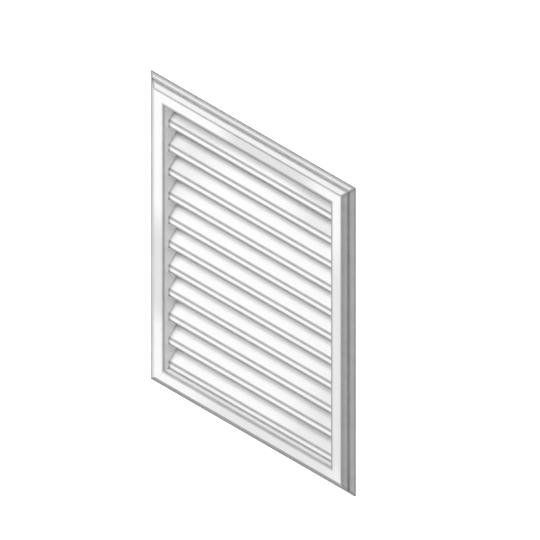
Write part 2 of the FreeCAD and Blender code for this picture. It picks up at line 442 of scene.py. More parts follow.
def make_piece(name: str, skin: Skin, material: Material, node: Node) -> Object:
    """Put a skin into the scene as a smooth-shaded mesh with sharp edges where it turns hard.

    Args:
        name: the piece's name.
        skin: the surface.
        material: its finish.
        node: the CAD node that it stands for.

    Returns:
        The new object, at the origin, which rides on the vent.
    """
    mesh = bpy.data.meshes.new(name)
    mesh.from_pydata(skin.vertices.tolist(), [], [face for group in skin.faces for face in group.tolist()])
    for attribute, values in skin.attributes.items():
        layer = mesh.attributes.new(attribute, "FLOAT", "POINT")
        layer.data.foreach_set("value", values.astype(np.float32))
    mesh.polygons.foreach_set("use_smooth", np.ones(len(mesh.polygons), bool))
    mesh.set_sharp_from_angle(angle=SHARP_ANGLE)
    mesh.materials.append(material)
    mesh.update()
    piece = bpy.data.objects.new(name, mesh)
    bpy.context.scene.collection.objects.link(piece)
    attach(piece, "root")
    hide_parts(node.value)
    return piece


# Finishes


def feed(tree: NodeTree, socket: NodeSocket, value: object) -> None:
    """Link an input from another socket, or set it to a plain value.

    Args:
        tree: the tree that holds the input.
        socket: the input.
        value: a socket or a plain value.
    """
    if isinstance(value, NodeSocket):
        tree.links.new(value, socket)
    else:
        socket.default_value = value


def set_inputs(tree: NodeTree, node: bpy.types.Node, values: dict[str, object]) -> None:
    """Feed several inputs of a node by name."""
    for name, value in values.items():
        feed(tree, node.inputs[name], value)


def add_node(tree: NodeTree, kind: str, **values: object) -> bpy.types.Node:
    """Add a shader node.

    Args:
        tree: the tree it goes into.
        kind: the node's type name.
        **values: properties by name; a name that isn't a property is an input, with _ for a space.

    Returns:
        The new node.
    """
    node = tree.nodes.new(kind)
    for name, value in values.items():
        if hasattr(node, name):
            setattr(node, name, value)
        else:
            feed(tree, node.inputs[name.replace("_", " ")], value)
    return node


def add_math(tree: NodeTree, operation: str, first: object, second: object) -> NodeSocket:
    """Add a Math node that keeps its result between 0 and 1.

    Args:
        tree: the tree it goes into.
        operation: the sum to do.
        first: a socket or a number.
        second: a socket or a number.

    Returns:
        The result's socket.
    """
    node = add_node(tree, "ShaderNodeMath", operation=operation, use_clamp=True)
    for socket, value in zip(node.inputs, (first, second)):
        feed(tree, socket, value)
    return node.outputs[0]


def add_range(tree: NodeTree, value: NodeSocket, span: Sequence[float]) -> NodeSocket:
    """Map a value on a soft ramp.

    Args:
        tree: the tree it goes into.
        value: the value's socket.
        span: two numbers to map from, and the two that they become.

    Returns:
        The result's socket.
    """
    node = add_node(tree, "ShaderNodeMapRange", interpolation_type="SMOOTHSTEP", Value=value)
    set_inputs(tree, node, dict(zip(("From Min", "From Max", "To Min", "To Max"), span)))
    return node.outputs["Result"]


def add_mix(tree: NodeTree, share: NodeSocket, first: object, second: Colour) -> NodeSocket:
    """Mix two colours.

    Args:
        tree: the tree it goes into.
        share: how much of the second colour shows.
        first: a socket or a colour.
        second: a colour.

    Returns:
        The mixed colour's socket.
    """
    node = add_node(tree, "ShaderNodeMix", data_type="RGBA")
    sockets = {socket.identifier: socket for socket in (*node.inputs, *node.outputs)}
    feed(tree, sockets["Factor_Float"], share)
    feed(tree, sockets["A_Color"], first if isinstance(first, NodeSocket) else (*first, 1.0))
    feed(tree, sockets["B_Color"], (*second, 1.0))
    return sockets["Result_Color"]


class SharedEffects:
    """Node groups that more than one finish uses."""

    detail: float = 3.0
    grain_detail: float = 2.0
    patch_depth: Pair = (0.9, 1.0)

    def __init__(self) -> None:
        """Build both groups."""
        self.soil_and_shade = self._soil_and_shade_group()
        self.grain = self._grain_group()

    @staticmethod
    def _new_group(name: str, inputs: Sequence[str], outputs: Sequence[str]) -> NodeTree:
        """Make an empty group that takes a place and some values.

        Args:
            name: the group's name.
            inputs: names of the value inputs.
            outputs: names of the value outputs.

        Returns:
            The group, with its input and output nodes.
        """
        group = bpy.data.node_groups.new(name, "ShaderNodeTree")
        group.interface.new_socket(name="Place", in_out="INPUT", socket_type="NodeSocketVector")
        for side, names in (("INPUT", inputs), ("OUTPUT", outputs)):
            for socket in names:
                group.interface.new_socket(name=socket, in_out=side, socket_type="NodeSocketFloat")
        group.nodes.new("NodeGroupInput").name = "in"
        group.nodes.new("NodeGroupOutput").name = "out"
        return group

    @staticmethod
    def _noise(group: NodeTree, scale: str, detail: float) -> NodeSocket:
        """Add a noise to a group.

        Args:
            group: the group.
            scale: the name of the input that gives its scale.
            detail: its level of detail.

        Returns:
            The noise's socket.
        """
        source = group.nodes["in"].outputs
        noise = add_node(group, "ShaderNodeTexNoise", Vector=source["Place"], Detail=detail)
        set_inputs(group, noise, {"Scale": source[scale]})
        return noise.outputs[0]

    def _soil_and_shade_group(self) -> NodeTree:
        """Build the group that breaks a mask of soil and painted shade up with noise.

        Returns:
            The group, which gives the share of soil and painted shade that shows.
        """
        group = self._new_group("patchy_soil_and_shade", ("Mask", "Patch Scale", "Amount"), ("Share",))
        source = group.nodes["in"].outputs
        noise = self._noise(group, "Patch Scale", self.detail)
        share = add_range(group, noise, (*NOISE_SPAN, *self.patch_depth))
        for name in ("Mask", "Amount"):
            share = add_math(group, "MULTIPLY", share, source[name])
        set_inputs(group, group.nodes["out"], {"Share": share})
        return group

    def _grain_group(self) -> NodeTree:
        """Build the group of two noises, a fine one and a slow one.

        Returns:
            The group, which gives a height and a variation.
        """
        group = self._new_group("fine_grain", ("Grain Scale", "Cloud Scale"), ("Height", "Variation"))
        height = self._noise(group, "Grain Scale", self.grain_detail)
        variation = self._noise(group, "Cloud Scale", self.detail)
        set_inputs(group, group.nodes["out"], {"Height": height, "Variation": variation})
        return group


@dataclass(frozen=True)
class Finish:
    """A surface with two cloudy tones, a fine relief, and soil and painted shade at edges and in creases.
    """

    name: str
    tones: tuple[Colour, Colour]
    soil_and_shade: Colour
    soil_and_shade_amount: float
    patch_scale: float
    grain_scale: float
    cloud_scale: float
    relief: float
    relief_strength: float
    roughness: Pair
    metallic: float

    def tint(self, tree: NodeTree, tone: NodeSocket) -> NodeSocket:
        """Return the clean surface's colour, here without a tint."""
        return tone

    def height(self, tree: NodeTree, place: NodeSocket, grain: NodeSocket) -> NodeSocket:
        """Return the height of the relief, here the grain's."""
        return grain

    def build(self, effects: SharedEffects) -> Material:
        """Make the material.

        Args:
            effects: the shared node groups.

        Returns:
            The finished material.
        """
        material = bpy.data.materials.new(self.name)
        material.use_nodes = True
        tree = material.node_tree
        place = add_node(tree, "ShaderNodeTexCoord").outputs["Object"]
        grain = add_node(tree, "ShaderNodeGroup", node_tree=effects.grain, Place=place)
        set_inputs(tree, grain, {"Grain Scale": self.grain_scale, "Cloud Scale": self.cloud_scale})
        # Soil and painted shade, broken into patches, darken the colour and roughen the surface
        soil_and_shade_patches = add_node(tree, "ShaderNodeGroup", node_tree=effects.soil_and_shade, Place=place)
        mask = add_node(tree, "ShaderNodeAttribute", attribute_name=SOIL_AND_SHADE).outputs["Fac"]
        set_inputs(tree, soil_and_shade_patches, {"Mask": mask, "Patch Scale": self.patch_scale, "Amount": self.soil_and_shade_amount})
        share, variation = soil_and_shade_patches.outputs["Share"], grain.outputs["Variation"]
        clean = self.tint(tree, add_mix(tree, variation, *self.tones))
        gloss = add_range(tree, variation, (*NOISE_SPAN, *self.roughness))
        bump = add_node(tree, "ShaderNodeBump", Strength=self.relief_strength, Distance=self.relief)
        set_inputs(tree, bump, {"Height": self.height(tree, place, grain.outputs["Height"])})
        inputs = {
            "Base Color": add_mix(tree, share, clean, self.soil_and_shade),
            "Metallic": self.metallic,
            "Roughness": add_math(tree, "MAXIMUM", gloss, share),
            "Normal": bump.outputs["Normal"],
        }
        set_inputs(tree, tree.nodes["Principled BSDF"], inputs)
        return material


@dataclass(frozen=True)
class MouldedPlastic(Finish):
    """Satin white plastic, moulded grain, and painted reflection and shade in grey where an attribute says.
    """

    name: str = Slot.PLASTIC.value
    tones: tuple[Colour, Colour] = ((0.875, 0.875, 0.872), (0.845, 0.846, 0.848))
    # The dark grey of soil and of painted shade
    soil_and_shade: Colour = (0.16, 0.16, 0.158)
    soil_and_shade_amount: float = 0.80
    patch_scale: float = 55.0
    grain_scale: float = 1500.0
    cloud_scale: float = 9.0
    relief: float = 0.00004
    relief_strength: float = 0.25
    roughness: Pair = (0.38, 0.50)
    metallic: float = 0.0
    # The grey of painted reflection and painted shade
    painted_shade_grey: Colour = (0.58, 0.58, 0.585)

    def tint(self, tree: NodeTree, tone: NodeSocket) -> NodeSocket:
        """Return the tone with painted reflection and shade in grey over it."""
        painted_reflection_and_shade = add_node(tree, "ShaderNodeAttribute", attribute_name=PAINTED_REFLECTION_AND_SHADE).outputs["Fac"]
        return add_mix(tree, painted_reflection_and_shade, tone, self.painted_shade_grey)


@dataclass(frozen=True)
class DrawnWire(Finish):
    """Dull aluminium wire; a weave pitch above 0 presses the cloth's pattern into a flat hem."""

    tones: tuple[Colour, Colour] = ((0.56, 0.57, 0.58), (0.38, 0.39, 0.40))
    soil_and_shade: Colour = (0.20, 0.195, 0.185)
    soil_and_shade_amount: float = 0.5
    patch_scale: float = 80.0
    grain_scale: float = 2500.0
    cloud_scale: float = 40.0
    relief: float = 0.0002
    relief_strength: float = 0.6
    roughness: Pair = (0.32, 0.50)
    metallic: float = 1.0
    weave_pitch: float = 0.0

    def height(self, tree: NodeTree, place: NodeSocket, grain: NodeSocket) -> NodeSocket:
        """Return the height of crossed wires: the higher of two waves, one along X and one along Z.

        Args:
            tree: the material's tree.
            place: the coordinates' socket.
            grain: the grain's socket, for wire that has no weave.

        Returns:
            The height's socket.
        """
        if not self.weave_pitch:
            return grain
        scale = 2 * math.pi / (WAVE_RATE * self.weave_pitch)
        waves = []
        for axis in ("X", "Z"):
            wave = add_node(tree, "ShaderNodeTexWave", bands_direction=axis, Vector=place, Scale=scale)
            waves.append(wave.outputs["Fac"])
        return add_math(tree, "MAXIMUM", *waves)


# Sub-assemblies


class QuirkPaintedShade(NamedTuple):
    """Painted shade in the trim's quirk: on its arrises, just inside them, low on its walls and on its
    floor.
    """

    arris: float = 0.85
    neck: float = 0.75
    wall: float = 0.70
    floor: float = 0.80


@dataclass
class FrameMoulding:
    """Flat front band, quirked trim, rim and sleeve: one section carried round the opening."""

    vent: VentSizes
    finish: Material
    rim_seat: float = 0.0060
    quirk_start: float = 0.0089
    quirk_width: float = 0.0030
    quirk_depth: float = 0.0038
    arris: float = 0.0008
    edge_radius: float = 0.0004
    fine_radius: float = 0.0003
    quirk_radius: float = 0.0005
    hollow_radius: float = 0.0010
    line_reach: float = 0.0036
    recess_reach: float = 0.0052
    quirk_lap: float = 0.0028
    quirk_wall_reach: float = 0.0002
    quirk_neck_reach: float = 0.0004
    rim_reach: float = 0.0056
    # Painted shade lines: on the arrises round the band, on the rim, in the back's hollows and in the quirk
    painted_line_shade: float = 1.0
    band_painted_line_shade: float = 0.87
    hollow_painted_shade: float = 0.4
    quirk_painted_shade: QuirkPaintedShade = QuirkPaintedShade()
    mitre_soil: float = 1.0
    mitre_core: float = 0.0013
    mitre_reach: float = 0.0032
    mitre_width: ByMember[float] = ByMember(1.0, 1.0, 0.5, 2.1)
    mitre_stations: tuple[float, float, float] = (0.003, 0.006, 0.010)
    # Painted reflection: grey stretches along each member of the band, and their strength on each
    painted_reflection_span: ByMember[tuple[float, float, float, float]] = ByMember(
        top=(-0.085, -0.02, 0.12, 0.185),
        bottom=(-0.15, -0.05, 0.17, 0.26),
        left=(-0.20, -0.14, -0.01, 0.07),
        right=(-0.34, -0.25, 0.11, 0.225),
    )
    band_painted_reflection: ByMember[float] = ByMember(0.66, 0.46, 0.63, 0.46)
    # Painted shade on the trims, by member: a grey, an even darkening, and more towards the band and quirk
    trim_painted_shade: ByMember[float] = ByMember(0.38, 1.0, 0.80, 1.0)
    trim_even_painted_shade: ByMember[float] = ByMember(0.0, 0.85, 0.10, 0.58)
    trim_painted_shade_ramp: ByMember[float] = ByMember(0.0, 0.0, 0.0, 0.42)
    haze_reach: float = 0.0060
    trim_skin: float = 0.0050
    # Painted shade in the crease on the sill before the lowest lip
    crease_painted_shade: ByMember[float] = ByMember(0.0, 0.6, 0.0, 0.0)
    crease_reach: float = 0.0036
    # Weights on each member of the section's lines of soil and painted shade
    recess_share: ByMember[float] = ByMember(1.0, 0.82, 0.20, 1.0)
    inner_share: ByMember[float] = ByMember(1.0, 0.82, 0.98, 1.0)
    edge_share: ByMember[float] = ByMember(1.0, 1.45, 0.45, 1.0)
    quirk_share: ByMember[float] = ByMember(0.85, 1.0, 0.80, 0.62)
    outer_share: ByMember[float] = ByMember(0.95, 1.15, 1.0, 0.88)
    spans: int = 24

    def section(self) -> Section:
        """Work the moulding's section out, from the sleeve's back round the front and back again.

        Returns:
            The section as (Y, distance out of the opening).
        """
        v = self.vent
        slope = v.trim_fall / v.trim_reach
        quirk_end = self.quirk_start + self.quirk_width
        floor = v.front + self.quirk_start * slope + self.quirk_depth
        band_back = v.front + v.shell_wall
        outer = v.face_band + v.trim_reach
        inside = outer - self.rim_seat
        lap, line, full, hollow = self.quirk_lap, self.line_reach, self.painted_line_shade, self.hollow_painted_shade
        arris, neck, wall, bed = self.quirk_painted_shade
        edge, fine, quirk = self.edge_radius, self.fine_radius, self.quirk_radius

        def on_trim(out: float) -> Pair:
            """Return the trim's sloping face at a distance out of the band."""
            return v.front + out * slope, v.face_band + out

        outline = rounded_section(
            [
                Corner(v.sleeve_back, 0.0, edge),
                Corner(v.front, 0.0, self.arris, full, reach=self.recess_reach),
                Corner(v.front, v.face_band, self.arris, self.band_painted_line_shade, reach=line, reach_after=line / 2),
                Corner(*on_trim(self.quirk_start), edge, arris, 0.0, neck, lap, SHORT_REACH),
                Corner(floor, v.face_band + self.quirk_start, quirk, bed, wall, bed),
                Corner(floor, v.face_band + quirk_end, quirk, bed, bed, wall, self.quirk_wall_reach),
                Corner(*on_trim(quirk_end), fine, arris, neck, 0.0, self.quirk_neck_reach, lap),
                Corner(*on_trim(v.trim_reach), quirk, full, 0.0, full, self.rim_reach, SHORT_REACH),
                Corner(0.0, outer, fine, full, full),
                Corner(0.0, inside, edge),
                Corner(band_back, inside + band_back / slope, self.arris, hollow),
                Corner(band_back, v.shell_wall, self.hollow_radius, hollow),
                Corner(v.sleeve_back, v.shell_wall, edge),
            ]
        )
        return with_rows(outline, v.lip_front + self.crease_reach * np.array([-1.0, -LINE_CORE, 0.0, 1.0]))

    def by_member(self, vertices: np.ndarray, values: ByMember) -> np.ndarray:
        """Pick one of four values at each vertex, by the member that it lies on between the mitres.

        Args:
            vertices: the moulding's vertices.
            values: for each member, one value or the values at all vertices.

        Returns:
            The value at each vertex.
        """
        x, _, z = vertices.T
        upright = np.abs(x) - self.vent.half_width > np.abs(z) - self.vent.half_height
        stiles = np.where(x < 0, values.left, values.right)
        return np.where(upright, stiles, np.where(z > 0, values.top, values.bottom))

    def distance_out(self, vertices: np.ndarray) -> np.ndarray:
        """Return each vertex's distance out of the opening, the larger of that along X and that along Z."""
        x, _, z = np.abs(vertices.T)
        return np.maximum(x - self.vent.half_width, z - self.vent.half_height)

    def on_trim(self, vertices: np.ndarray, skin: float) -> np.ndarray:
        """Find the vertices on the trim's sloping face, or less than a skin's depth behind it.

        Args:
            vertices: the moulding's vertices.
            skin: the depth.

        Returns:
            Whether each vertex is one.
        """
        v = self.vent
        out = self.distance_out(vertices) - v.face_band
        depth = vertices[:, 1] - v.front - out * v.trim_fall / v.trim_reach
        return (out > self.arris / 4) & (depth < skin)

    def painted_reflection_and_shade(self, vertices: np.ndarray) -> np.ndarray:
        """Return painted reflection on a stretch of each member of the band, and even painted shade on the
        trim.

        Args:
            vertices: the moulding's vertices.

        Returns:
            The share of painted reflection and shade at each vertex.
        """
        x, y, z = vertices.T
        top, bottom, left, right = self.painted_reflection_span
        along = ByMember(stretch(top, x), stretch(bottom, x), stretch(left, z), stretch(right, z))
        on_band = np.abs(y - self.vent.front) < self.arris / 2
        painted_reflection = self.by_member(vertices, along) * on_band * self.by_member(vertices, self.band_painted_reflection)
        on_trim = self.on_trim(vertices, self.trim_skin)
        return np.where(on_trim, self.by_member(vertices, self.trim_painted_shade), painted_reflection)

    def soil_and_shade(self, vertices: np.ndarray, along_section: np.ndarray) -> np.ndarray:
        """Return the soil and painted shade: the section's own, weighted by member, the dark line on the
        mitres, and the painted shade on the trim and the sill.

        Args:
            vertices: the moulding's vertices.
            along_section: the section's soil and painted shade at each vertex.

        Returns:
            The soil and painted shade at each vertex.
        """
        v = self.vent
        out = self.distance_out(vertices)
        in_recess = (out < self.arris / 4) & (vertices[:, 1] > v.front + self.arris)
        quirk_end = self.quirk_start + self.quirk_width + self.quirk_lap
        limits = (v.face_band / 2, v.face_band + self.quirk_start / 2, v.face_band + quirk_end)
        within = [in_recess] + [out < limit for limit in limits]
        inwards = (self.recess_share, self.inner_share, self.edge_share, self.quirk_share)
        shares = [self.by_member(vertices, share) for share in inwards]
        share = np.select(within, shares, self.by_member(vertices, self.outer_share))
        layers = (
            np.minimum(along_section * share, 1.0),
            self.mitre_line(vertices) * self.on_trim(vertices, self.trim_skin),
            self.painted_shade_on_trim(vertices) * self.on_trim(vertices, self.arris),
            self.sill_crease(vertices),
        )
        return np.max(layers, axis=0)

    def mitre_line(self, vertices: np.ndarray) -> np.ndarray:
        """Return the soil along the mitres, a soft ramp of the distance to the mitre's plane.

        The distance is the difference between the distances out along X and along Z, divided by the square
        root of 2.

        Args:
            vertices: the moulding's vertices.

        Returns:
            The soil at each vertex.
        """
        x, _, z = np.abs(vertices.T)
        gap = np.abs((x - self.vent.half_width) - (z - self.vent.half_height)) / math.sqrt(2)
        gap /= self.by_member(vertices, self.mitre_width)
        return self.mitre_soil * smooth_step(self.mitre_reach, self.mitre_core, gap)

    def painted_shade_on_trim(self, vertices: np.ndarray) -> np.ndarray:
        """Return the painted shade on the trim: an even share, and a soft ramp towards the band and the
        quirk.

        Args:
            vertices: the moulding's vertices.

        Returns:
            The painted shade at each vertex, for those on the trim's face.
        """
        out = self.distance_out(vertices) - self.vent.face_band
        gap = np.minimum(out, np.abs(out - self.quirk_start - self.quirk_width / 2))
        haze = self.by_member(vertices, self.trim_painted_shade_ramp) * smooth_step(self.haze_reach, 0.0, gap)
        return self.by_member(vertices, self.trim_even_painted_shade) + haze

    def sill_crease(self, vertices: np.ndarray) -> np.ndarray:
        """Return the painted shade on the sill before the lowest lip, a soft ramp of the distance to the
        lip.

        Args:
            vertices: the moulding's vertices.

        Returns:
            The painted shade at each vertex.
        """
        gap = self.vent.lip_front - vertices[:, 1]
        crease = smooth_step(self.crease_reach, self.crease_reach * LINE_CORE, gap)
        before_lip = (gap > -self.crease_reach) & (self.distance_out(vertices) < self.arris / 4)
        return self.by_member(vertices, self.crease_painted_shade) * crease * before_lip

    def build(self) -> list[Object]:
        """Build the moulding, with rows of vertices close to the mitres and even spans between them.

        Returns:
            The finished piece, alone in its list.
        """
        first, second, third = self.mitre_stations
        middle = np.linspace(third, 1 - third, self.spans)
        stations = np.concatenate([[0.0, first, second], middle, [1 - second, 1 - first]])
        skin = mitred_ring(self.section(), self.vent, stations)
        # Soil and painted shade, then painted reflection and shade in grey
        skin.attributes[SOIL_AND_SHADE] = self.soil_and_shade(skin.vertices, skin.attributes[SOIL_AND_SHADE])
        skin.attributes[PAINTED_REFLECTION_AND_SHADE] = self.painted_reflection_and_shade(skin.vertices)
        return [make_piece("frame_moulding", skin, self.finish, Node.BODY)]


@dataclass
class LouverBank:
    """Sloping blades with drip lips, each moulded into the jambs with a small fillet."""

    vent: VentSizes
    finish: Material
    edge_radius: float = 0.0005
    heel_radius: float = 0.0015
    fillet: float = 0.0012
    fillet_rows: int = 6
    grip: float = 0.00125
    # Painted shade in the corners where the blades meet the jambs
    jamb_painted_shade: float = 0.45
    jamb_reach: float = 0.0022
    jamb_rows: tuple[float, float, float] = (0.5, 1.0, 2.0)
    # Painted shade lines: on the nose, at the lip's foot, in the heel and on the lip's back
    nose_painted_line_shade: float = 0.95
    nose_reach: float = 0.0032
    lip_painted_shade: float = 1.0
    lip_hold: float = 1.0
    lip_reach: float = 0.0045
    heel_painted_shade: float = 0.4
    back_painted_shade: float = 0.3
    # Painted shadow from the edge above on each slope: a wide one on upper louvers, a close one under the
    # edge
    wide_painted_shadow: float = 0.22
    wide_shadow_reach: Pair = (0.0165, 0.0090)
    close_painted_shadow: float = 0.84
    close_shadow_reach: float = 0.0040
    upper: Pair = (0.14, 0.19)
    below_top: Pair = (0.225, 0.20)
    # Painted reflection in grey across the bank
    reflection_share: float = 0.38
    reflection_lean: float = 0.68
    reflection_low_right: Pair = (0.21, 0.31)
    reflection_high_left: Pair = (-0.19, -0.29)
    reflection_high_right: Pair = (0.06, 0.16)
    slope_rows: int = 44
    spans: int = 16
    end_stretch: float = 0.03
    sill_bite: float = 0.0012

    def section(self) -> Section:
        """Work a blade's section out, from the foot of its lip up the front and down the back.

        Returns:
            The section as (Y, height above the foot of the lip).
        """
        v = self.vent
        front, tip, wall = v.lip_front, v.blade_tip, v.louver_wall
        lean = wall * math.sin(math.pi / 4)
        heel = v.nose_height + wall - wall * math.sqrt(2)
        edge, lip = self.edge_radius, self.lip_painted_shade
        outline = rounded_section(
            [
                Corner(front, 0.0, edge, lip, lip, reach_after=self.lip_reach, hold=self.lip_hold),
                Corner(front, v.nose_height, v.nose_radius, self.nose_painted_line_shade, reach=self.nose_reach),
                Corner(tip, v.blade_rise, edge),
                Corner(tip + lean, v.blade_rise - lean, edge),
                Corner(front + wall, heel, self.heel_radius, self.heel_painted_shade),
                Corner(front + wall, 0.0, edge, lip, self.back_painted_shade, lip),
            ]
        )
        return with_rows(outline, np.linspace(front, tip, self.slope_rows))

    def on_slope(self, vertices: np.ndarray) -> np.ndarray:
        """Return which vertices of one blade lie on its sloping top, within a micrometre."""
        depth = vertices[:, 1] - self.vent.lip_front
        return vertices[:, 2] - self.vent.nose_height - depth > -MICROMETRE

    def painted_edge_shadow(self, vertices: np.ndarray, edge: float, foot: float) -> np.ndarray:
        """Return the painted shadow that the edge above casts on a blade, below a line slanting at 45
        degrees.

        The distance below the slanting line through the edge is the edge's Y plus height, less the
        vertex's. The painted shadow falls off with it in two soft ramps: a short one just under the edge,
        and a wide one on the upper louvers, the top one excepted.

        Args:
            vertices: one blade's vertices, with heights above the foot of its lip.
            edge: Y plus height of the edge above.
            foot: height of the lip's foot in the vent.

        Returns:
            The painted shadow at each vertex.
        """
        below = edge - vertices[:, 1] - vertices[:, 2]
        upper = smooth_step(*self.upper, foot) * smooth_step(*self.below_top, foot)
        wide = self.wide_painted_shadow * upper * smooth_step(*self.wide_shadow_reach, below)
        return wide + self.close_painted_shadow * smooth_step(self.close_shadow_reach, 0.0, below)

    def painted_reflection(self, vertices: np.ndarray) -> np.ndarray:
        """Return the painted reflection in grey on the bank.

        It lies low on the right and high on the left, past two slanting lines of equal lean, and at the
        right of the upper louvers.

        Args:
            vertices: the bank's vertices.

        Returns:
            The share of painted reflection at each vertex.
        """
        x, _, z = vertices.T
        slant = x - self.reflection_lean * z
        past_lines = smooth_step(*self.reflection_low_right, slant) + smooth_step(*self.reflection_high_left, slant)
        high_right = smooth_step(*self.reflection_high_right, x) * smooth_step(*self.upper, z)
        return self.reflection_share * np.maximum(past_lines, high_right)

    def blade(self) -> Skin:
        """Build one blade.

        The section runs along X. Within the fillet's radius of a jamb it grows along its own normals by
        radius - sqrt(radius^2 - (radius - distance)^2), which meets the jamb at a tangent.

        Returns:
            One closed blade whose lip stands at height 0.
        """
        section, half_width = self.section(), self.vent.half_width
        in_fillet = self.fillet * (1 - np.cos(np.linspace(0, np.pi / 2, self.fillet_rows)))
        past_fillet = self.fillet + self.jamb_reach * np.array(self.jamb_rows)
        side = np.concatenate([[-self.grip], in_fillet, past_fillet]) - half_width
        middle = np.linspace(-1.0, 1.0, self.spans + 1) * (half_width - self.end_stretch)
        along = np.concatenate([side, middle, -side[::-1]])[:, None]
        gap = half_width - np.abs(along)
        near = self.fillet - np.clip(gap, 0.0, self.fillet)
        flare = self.fillet - np.sqrt(self.fillet**2 - near**2)
        places = section.points.T[:, None] + flare * section.normals.T[:, None]
        # Painted shade where the blade meets a jamb
        corner = self.jamb_painted_shade * smooth_step(self.fillet + self.jamb_reach, self.fillet / 2, gap)
        return closed_tube([along, *places], 1 - (1 - corner) * (1 - section.soil_and_shade))

    def build(self) -> list[Object]:
        """Build the bank, with the lowest lip let into the sill.

        Returns:
            The finished piece, alone in its list.
        """
        v = self.vent
        count = round(2 * v.half_height / v.louver_pitch)
        blade = self.blade()
        moves = np.zeros((count, 3))
        moves[:, 2] = v.louver_pitch * np.arange(count) - v.half_height
        bank = repeated(blade, moves)
        edges = np.full(count, v.lip_front + v.louver_pitch)
        edges[-1] = v.front + v.half_height - moves[-1, 2]
        on_slope = np.tile(self.on_slope(blade.vertices), count)
        # Painted shadow from the edge above, on the slopes only
        edge_shadows = [self.painted_edge_shadow(blade.vertices, *places) for places in zip(edges, moves[:, 2])]
        bank.attributes[SOIL_AND_SHADE] = np.maximum(bank.attributes[SOIL_AND_SHADE], np.concatenate(edge_shadows) * on_slope)
        # Painted reflection in grey, on the slopes only
        bank.attributes[PAINTED_REFLECTION_AND_SHADE] = self.painted_reflection(bank.vertices) * on_slope
        foot = bank.vertices[:, 2] < -v.half_height + 2 * self.edge_radius
        bank.vertices[:, 2] -= self.sill_bite * foot
        return [make_piece("louver_bank", bank, self.finish, Node.BODY)]


@dataclass
class ScreenStakes:
    """Lugs inside the sleeve's back edge, and the stakes whose formed heads hold the screen."""

    vent: VentSizes
    finish: Material
    lug_width: float = 0.007
    lug_depth: float = 0.0045
    lug_inset: float = 0.045
    lug_soil: tuple[float, float, float] = (0.3, 0.2, 0.5)
    across: int = 3
    up: int = 4
    edge_radius: float = 0.0006
    edge_steps: int = 4
    stake_radius: float = 0.0015
    stake_root: float = 0.0020
    stake_soil: float = 0.6
    head_radius: float = 0.0030
    head_rise: float = 0.0014
    head_turn: float = 0.46 * math.pi
    head_rows: int = 7
    turns: int = 20

    def lug(self, low: float, high: float, upright: bool) -> Skin:
        """Build one lug: a rounded rectangle carried straight back along Y.

        Args:
            low: its lower or left side.
            high: its upper or right side.
            upright: whether it stands in a row along Z, with its width along Z.

        Returns:
            One closed lug, centred on its own place along the edge.
        """
        half = self.lug_width / 2
        sides = [(-half, low), (half, low), (half, high), (-half, high)]
        section = rounded_section([Corner(*side, self.edge_radius) for side in sides], self.edge_steps)
        along, out = section.points.T
        back = self.vent.sleeve_back - self.lug_depth * np.array([1.0, 0.5, 0.0])[:, None]
        axes = [out, back, along] if upright else [along, back, out]
        return closed_tube(axes, np.array(self.lug_soil)[:, None])

    def stake(self) -> Skin:
        """Build one stake: a shank and a low dome, an outline of (radius, Y) turned about Y.

        The dome's radius and rise follow a quarter of an ellipse.

        Returns:
            One closed stake at the origin of X and Z.
        """
        v = self.vent
        turn = np.linspace(0.0, self.head_turn, self.head_rows)
        rise = v.screen_back + self.head_rise * np.sin(turn) / np.sin(turn[-1])
        dome = np.stack([self.head_radius * np.cos(turn), rise], axis=-1)
        root = v.sleeve_back - self.stake_root
        shank = np.array([(self.stake_radius, root), (self.stake_radius, v.screen_back)])
        outline = np.concatenate([shank, dome])
        radius, back = outline.T[:, :, None]
        angle = np.linspace(0.0, 2 * np.pi, self.turns, endpoint=False)
        soil_and_shade = np.where(np.arange(len(outline)) <= len(shank), self.stake_soil, 0.0)
        return closed_tube([radius * np.cos(angle), back, radius * np.sin(angle)], soil_and_shade[:, None])

    def build(self) -> list[Object]:
        """Build every lug and stake.

        Returns:
            The finished piece, alone in its list.
        """
        v = self.vent
        rows = (
            (v.half_height, v.half_width, self.across, False),
            (v.half_width, v.half_height, self.up, True),
        )
        skins = []
        for edge, length, count, upright in rows:
            along, outwards = (2, 0) if upright else (0, 2)
            reach = np.array([edge - v.lug_reach, edge + v.shell_wall / 2])
            for side in (-1, 1):
                moves = np.zeros((count, 3))
                moves[:, along] = np.linspace(-1.0, 1.0, count) * (length - self.lug_inset)
                skins.append(repeated(self.lug(*np.sort(side * reach), upright), moves))
                moves[:, outwards] = side * (edge - v.lug_reach / 2)
                skins.append(repeated(self.stake(), moves))
        skin = joined(skins)
        skin.attributes[PAINTED_REFLECTION_AND_SHADE] = np.zeros(len(skin.vertices))
        return [make_piece("screen_stakes", skin, self.finish, Node.BODY)]


